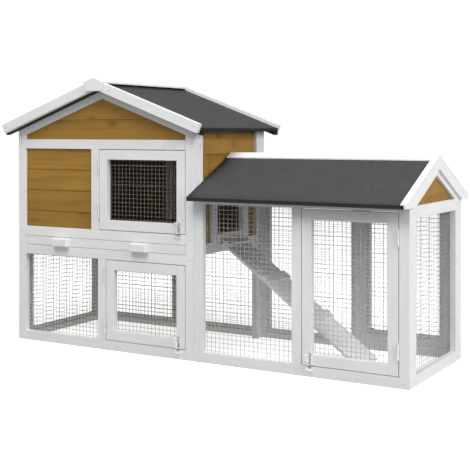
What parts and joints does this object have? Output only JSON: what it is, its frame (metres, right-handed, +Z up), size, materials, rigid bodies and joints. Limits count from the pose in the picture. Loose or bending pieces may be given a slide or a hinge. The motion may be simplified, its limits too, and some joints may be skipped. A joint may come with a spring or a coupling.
{
  "type": "rabbit hutch",
  "caption": "Two-storey wooden rabbit hutch with a gabled house, pull-out tray, ramp and a lower mesh run with its own gabled roof.",
  "frame": {"origin": "on the ground under the middle of the whole hutch's box", "axes": "+X along the front from the house to the run, +Y from the front to the back, +Z up"},
  "size_m": [1.4026, 0.524, 0.846],
  "materials": {
    "white_paint": "white water-based paint over planed fir battens, satin",
    "stained_siding": "golden-brown stain over fir boards, satin, grain and knots showing",
    "roof_felt": "mineral granules in bitumen roofing felt, rough",
    "roof_board": "thin board under the felt, its edges wrapped in dark bitumen",
    "galvanised_mesh": "galvanised welded wire, dull",
    "zinc_hardware": "bright zinc plating",
    "ramp_paint": "white paint over fir board, slightly rubbed",
    "tray_board": "thin plywood with wooden sides, clear finish"
  },
  "bodies": {
    "root": {"apex_plate": "white_paint", "back_bargeboards": "white_paint", "bolt_keepers": "zinc_hardware", "frame_screws": "zinc_hardware", "front_bargeboards": "white_paint", "hinge_fixed_leaves": "zinc_hardware", "hinge_pins": "zinc_hardware", "house_back_boards": "stained_siding", "house_back_frame": "white_paint", "house_back_mesh": "galvanised_mesh", "house_front_boards": "stained_siding", "house_front_frame": "white_paint", "house_front_mesh": "galvanised_mesh", "house_left_boards": "stained_siding", "house_left_frame": "white_paint", "house_left_mesh": "galvanised_mesh", "house_ridge_strip": "white_paint", "house_right_boards": "stained_siding", "house_right_frame": "white_paint", "house_roof_boards": "roof_board", "house_roof_felt": "roof_felt", "pop_hole_surround": "white_paint", "run_back_frame": "white_paint", "run_back_mesh": "galvanised_mesh", "run_bargeboards": "white_paint", "run_end_frame": "white_paint", "run_end_mesh": "galvanised_mesh", "run_front_frame": "white_paint", "run_front_mesh": "galvanised_mesh", "run_gable_board": "stained_siding", "run_ridge_cap": "white_paint", "run_roof_boards": "roof_board", "run_roof_felt": "roof_felt", "tray_runners": "white_paint"},
    "upper_door": {"upper_bolt_plate": "zinc_hardware", "upper_door_frame": "white_paint", "upper_door_hinge_leaves": "zinc_hardware", "upper_door_mesh": "galvanised_mesh"},
    "lower_door": {"lower_bolt_plate": "zinc_hardware", "lower_door_frame": "white_paint", "lower_door_hinge_leaves": "zinc_hardware", "lower_door_mesh": "galvanised_mesh"},
    "run_door": {"run_bolt_plate": "zinc_hardware", "run_door_frame": "white_paint", "run_door_hinge_leaves": "zinc_hardware", "run_door_mesh": "galvanised_mesh"},
    "run_back_door": {"run_back_bolt_plate": "zinc_hardware", "run_back_door_frame": "white_paint", "run_back_door_hinge_leaves": "zinc_hardware", "run_back_door_mesh": "galvanised_mesh"},
    "tray": {"tray_box": "tray_board", "tray_front": "white_paint", "tray_handles": "white_paint"},
    "ramp": {"ramp_board": "ramp_paint", "ramp_cleats": "ramp_paint", "ramp_hinge_leaves": "zinc_hardware"},
    "upper_bolt": {"upper_bolt_rod": "zinc_hardware"},
    "lower_bolt": {"lower_bolt_rod": "zinc_hardware"},
    "run_bolt": {"run_bolt_rod": "zinc_hardware"},
    "run_back_bolt": {"run_back_bolt_rod": "zinc_hardware"}
  },
  "joints": [
    {"name": "upper_door_hinge", "type": "hinge", "parent": "root", "child": "upper_door", "pos_m": [-0.32985, -0.2204, 0.2], "axis": [0, 0, -1], "range_deg": [0, 110]},
    {"name": "lower_door_hinge", "type": "hinge", "parent": "root", "child": "lower_door", "pos_m": [-0.30335, -0.2204, 0.2], "axis": [0, 0, -1], "range_deg": [0, 110]},
    {"name": "run_door_hinge", "type": "hinge", "parent": "root", "child": "run_door", "pos_m": [0.66165, -0.2204, 0.2], "axis": [0, 0, 1], "range_deg": [0, 110]},
    {"name": "run_back_door_hinge", "type": "hinge", "parent": "root", "child": "run_back_door", "pos_m": [0.66165, 0.2204, 0.2], "axis": [0, 0, -1], "range_deg": [0, 110]},
    {"name": "tray_slide", "type": "slide", "parent": "root", "child": "tray", "axis": [0, -1, 0], "range_m": [0, 0.33]},
    {"name": "ramp_hinge", "type": "hinge", "parent": "root", "child": "ramp", "pos_m": [0.02765, 0, 0.3385], "axis": [0, -1, 0], "range_deg": [0, 50]},
    {"name": "upper_bolt_slide", "type": "slide", "parent": "upper_door", "child": "upper_bolt", "axis": [0, 0, -1], "range_m": [0, 0.012]},
    {"name": "lower_bolt_slide", "type": "slide", "parent": "lower_door", "child": "lower_bolt", "axis": [0, 0, -1], "range_m": [0, 0.012]},
    {"name": "run_bolt_slide", "type": "slide", "parent": "run_door", "child": "run_bolt", "axis": [0, 0, -1], "range_m": [0, 0.012]},
    {"name": "run_back_bolt_slide", "type": "slide", "parent": "run_back_door", "child": "run_back_bolt", "axis": [0, 0, -1], "range_m": [0, 0.012]}
  ]
}
